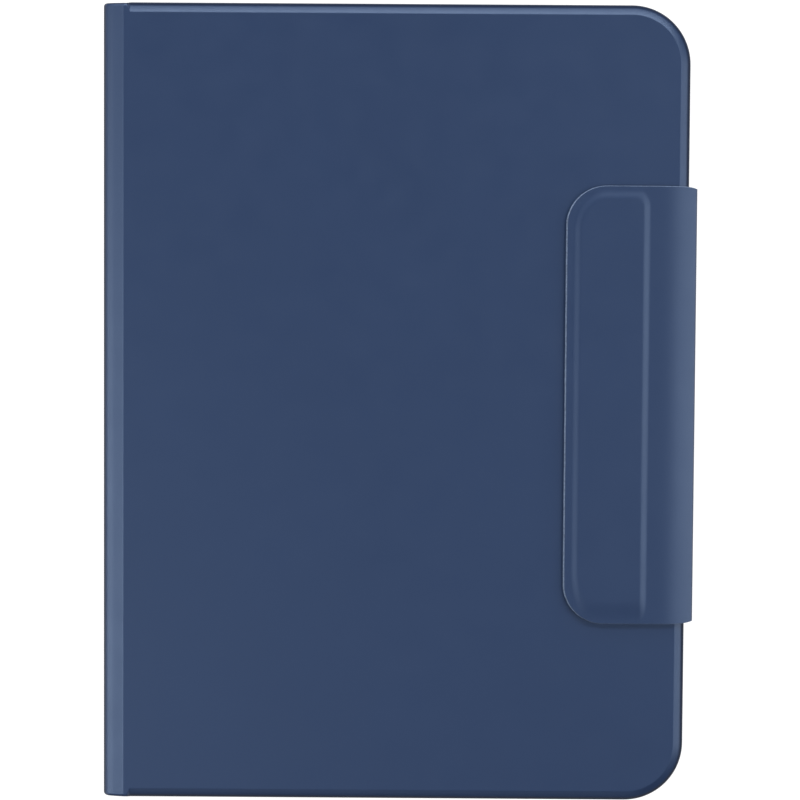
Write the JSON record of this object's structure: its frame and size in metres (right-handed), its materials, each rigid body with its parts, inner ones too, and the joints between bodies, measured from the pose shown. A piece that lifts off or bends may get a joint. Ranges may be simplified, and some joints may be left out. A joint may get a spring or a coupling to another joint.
{
  "type": "tablet keyboard case",
  "caption": "Closed folio case for a tablet, with a keyboard in its front cover, a snap-in tablet tray, a folding kickstand and a magnetic flap.",
  "frame": {"origin": "bottom centre of the closed case lying on its back", "axes": "+Y along the case's long side, towards the camera hole's end; +X from the spine to the flap; +Z from the back to the front cover"},
  "size_m": [0.1916, 0.258, 0.0216],
  "materials": {
    "cover_leather": "smooth navy synthetic leather, satin",
    "lining_fabric": "short dark grey microfibre",
    "grey_board": "stiff fibre board",
    "tray_plastic": "matte navy polycarbonate",
    "keyboard_plastic": "matte black ABS",
    "key_plastic": "black keycaps, fine matte texture",
    "trackpad_surface": "satin black",
    "black_rubber": "soft matte",
    "magnet_metal": "nickel plated",
    "port_steel": "stamped steel",
    "plate_aluminium": "mill finish",
    "circuit_board": "solder mask",
    "battery_foil": "foil pouch",
    "light_plastic": "milky light pipe"
  },
  "bodies": {
    "back_case": {"back_skin": "cover_leather", "back_board": "grey_board", "back_lining": "lining_fabric", "tablet_tray": "tray_plastic", "tray_magnets": "magnet_metal", "tray_lining": "lining_fabric", "flap_base": "cover_leather"},
    "kickstand": {"kickstand_skin": "cover_leather", "kickstand_board": "grey_board", "kickstand_lining": "lining_fabric", "kickstand_magnets": "magnet_metal", "camera_ring": "tray_plastic"},
    "spine": {"spine_skin": "cover_leather", "spine_board": "grey_board", "spine_lining": "lining_fabric"},
    "front_cover": {"front_cover_skin": "cover_leather", "front_cover_board": "grey_board", "cover_magnets": "magnet_metal", "keyboard_base": "keyboard_plastic", "keyboard_deck": "keyboard_plastic", "indicator_lights": "light_plastic", "rubber_bumpers": "black_rubber", "dome_sheet": "black_rubber", "key_membrane": "light_plastic", "key_backplate": "plate_aluminium", "battery": "battery_foil", "controller_board": "circuit_board", "usb_c_port": "port_steel", "trackpad_switch": "port_steel", "switch_housing": "keyboard_plastic"},
    "flap_gusset": {"flap_gusset_skin": "cover_leather", "flap_gusset_lining": "lining_fabric"},
    "flap_tongue": {"flap_skin": "cover_leather", "flap_stiffener": "grey_board", "flap_magnets": "magnet_metal", "flap_lining": "lining_fabric"},
    "trackpad": {"trackpad_plate": "trackpad_surface", "trackpad_board": "circuit_board"},
    "power_switch": {"power_switch": "keyboard_plastic"},
    "function_keys": {"function_keys": "key_plastic"},
    "number_keys": {"number_keys": "key_plastic"},
    "backspace_key": {"backspace_key": "key_plastic"},
    "tab_key": {"tab_key": "key_plastic"},
    "top_letter_keys": {"top_letter_keys": "key_plastic"},
    "caps_lock_key": {"caps_lock_key": "key_plastic"},
    "home_letter_keys": {"home_letter_keys": "key_plastic"},
    "return_key": {"return_key": "key_plastic"},
    "left_shift_key": {"left_shift_key": "key_plastic"},
    "bottom_letter_keys": {"bottom_letter_keys": "key_plastic"},
    "right_shift_key": {"right_shift_key": "key_plastic"},
    "left_modifier_keys": {"left_modifier_keys": "key_plastic"},
    "space_key": {"space_key": "key_plastic"},
    "right_modifier_keys": {"right_modifier_keys": "key_plastic"},
    "left_arrow_key": {"left_arrow_key": "key_plastic"},
    "up_arrow_key": {"up_arrow_key": "key_plastic"},
    "down_arrow_key": {"down_arrow_key": "key_plastic"},
    "right_arrow_key": {"right_arrow_key": "key_plastic"}
  },
  "joints": [
    {"name": "back_crease", "type": "hinge", "parent": "back_case", "child": "spine", "pos_m": [-0.08955, 0, 0.0003], "axis": [0, -1, 0], "range_deg": [0, 90]},
    {"name": "front_crease", "type": "hinge", "parent": "spine", "child": "front_cover", "pos_m": [-0.08955, 0, 0.0187], "axis": [0, -1, 0], "range_deg": [0, 90]},
    {"name": "back_stand_fold", "type": "hinge", "parent": "back_case", "child": "kickstand", "pos_m": [-0.0018, 0, 0.0003], "axis": [0, 1, 0], "range_deg": [0, 120]},
    {"name": "flap_base_fold", "type": "hinge", "parent": "back_case", "child": "flap_gusset", "pos_m": [0.09464, 0, 0.00346], "axis": [0, 1, 0], "range_deg": [0, 90]},
    {"name": "flap_edge_fold", "type": "hinge", "parent": "flap_gusset", "child": "flap_tongue", "pos_m": [0.09367, 0, 0.01887], "axis": [0, 1, 0], "range_deg": [0, 80]},
    {"name": "power_switch_slide", "type": "slide", "parent": "front_cover", "child": "power_switch", "axis": [1, 0, 0], "range_m": [0, 0.0035]},
    {"name": "trackpad_click", "type": "slide", "parent": "front_cover", "child": "trackpad", "axis": [0, 0, 1], "range_m": [0, 0.0003], "stiffness_N_per_m": 1500, "springref_m": -0.0008},
    {"name": "key_function_row", "type": "slide", "parent": "front_cover", "child": "function_keys", "axis": [0, 0, 1], "range_m": [0, 0.0012], "stiffness_N_per_m": 1680, "springref_m": -0.0035},
    {"name": "key_number_row", "type": "slide", "parent": "front_cover", "child": "number_keys", "axis": [0, 0, 1], "range_m": [0, 0.0012], "stiffness_N_per_m": 1560, "springref_m": -0.0035},
    {"name": "key_backspace", "type": "slide", "parent": "front_cover", "child": "backspace_key", "axis": [0, 0, 1], "range_m": [0, 0.0012], "stiffness_N_per_m": 120, "springref_m": -0.0035},
    {"name": "key_tab", "type": "slide", "parent": "front_cover", "child": "tab_key", "axis": [0, 0, 1], "range_m": [0, 0.0012], "stiffness_N_per_m": 120, "springref_m": -0.0035},
    {"name": "key_top_letter_row", "type": "slide", "parent": "front_cover", "child": "top_letter_keys", "axis": [0, 0, 1], "range_m": [0, 0.0012], "stiffness_N_per_m": 1560, "springref_m": -0.0035},
    {"name": "key_caps_lock", "type": "slide", "parent": "front_cover", "child": "caps_lock_key", "axis": [0, 0, 1], "range_m": [0, 0.0012], "stiffness_N_per_m": 120, "springref_m": -0.0035},
    {"name": "key_home_letter_row", "type": "slide", "parent": "front_cover", "child": "home_letter_keys", "axis": [0, 0, 1], "range_m": [0, 0.0012], "stiffness_N_per_m": 1320, "springref_m": -0.0035},
    {"name": "key_return", "type": "slide", "parent": "front_cover", "child": "return_key", "axis": [0, 0, 1], "range_m": [0, 0.0012], "stiffness_N_per_m": 120, "springref_m": -0.0035},
    {"name": "key_left_shift", "type": "slide", "parent": "front_cover", "child": "left_shift_key", "axis": [0, 0, 1], "range_m": [0, 0.0012], "stiffness_N_per_m": 120, "springref_m": -0.0035},
    {"name": "key_bottom_letter_row", "type": "slide", "parent": "front_cover", "child": "bottom_letter_keys", "axis": [0, 0, 1], "range_m": [0, 0.0012], "stiffness_N_per_m": 1200, "springref_m": -0.0035},
    {"name": "key_right_shift", "type": "slide", "parent": "front_cover", "child": "right_shift_key", "axis": [0, 0, 1], "range_m": [0, 0.0012], "stiffness_N_per_m": 120, "springref_m": -0.0035},
    {"name": "key_left_modifier_row", "type": "slide", "parent": "front_cover", "child": "left_modifier_keys", "axis": [0, 0, 1], "range_m": [0, 0.0012], "stiffness_N_per_m": 480, "springref_m": -0.0035},
    {"name": "key_space", "type": "slide", "parent": "front_cover", "child": "space_key", "axis": [0, 0, 1], "range_m": [0, 0.0012], "stiffness_N_per_m": 120, "springref_m": -0.0035},
    {"name": "key_right_modifier_row", "type": "slide", "parent": "front_cover", "child": "right_modifier_keys", "axis": [0, 0, 1], "range_m": [0, 0.0012], "stiffness_N_per_m": 240, "springref_m": -0.0035},
    {"name": "key_left_arrow", "type": "slide", "parent": "front_cover", "child": "left_arrow_key", "axis": [0, 0, 1], "range_m": [0, 0.0012], "stiffness_N_per_m": 120, "springref_m": -0.0035},
    {"name": "key_up_arrow", "type": "slide", "parent": "front_cover", "child": "up_arrow_key", "axis": [0, 0, 1], "range_m": [0, 0.0012], "stiffness_N_per_m": 120, "springref_m": -0.0035},
    {"name": "key_down_arrow", "type": "slide", "parent": "front_cover", "child": "down_arrow_key", "axis": [0, 0, 1], "range_m": [0, 0.0012], "stiffness_N_per_m": 120, "springref_m": -0.0035},
    {"name": "key_right_arrow", "type": "slide", "parent": "front_cover", "child": "right_arrow_key", "axis": [0, 0, 1], "range_m": [0, 0.0012], "stiffness_N_per_m": 120, "springref_m": -0.0035}
  ]
}
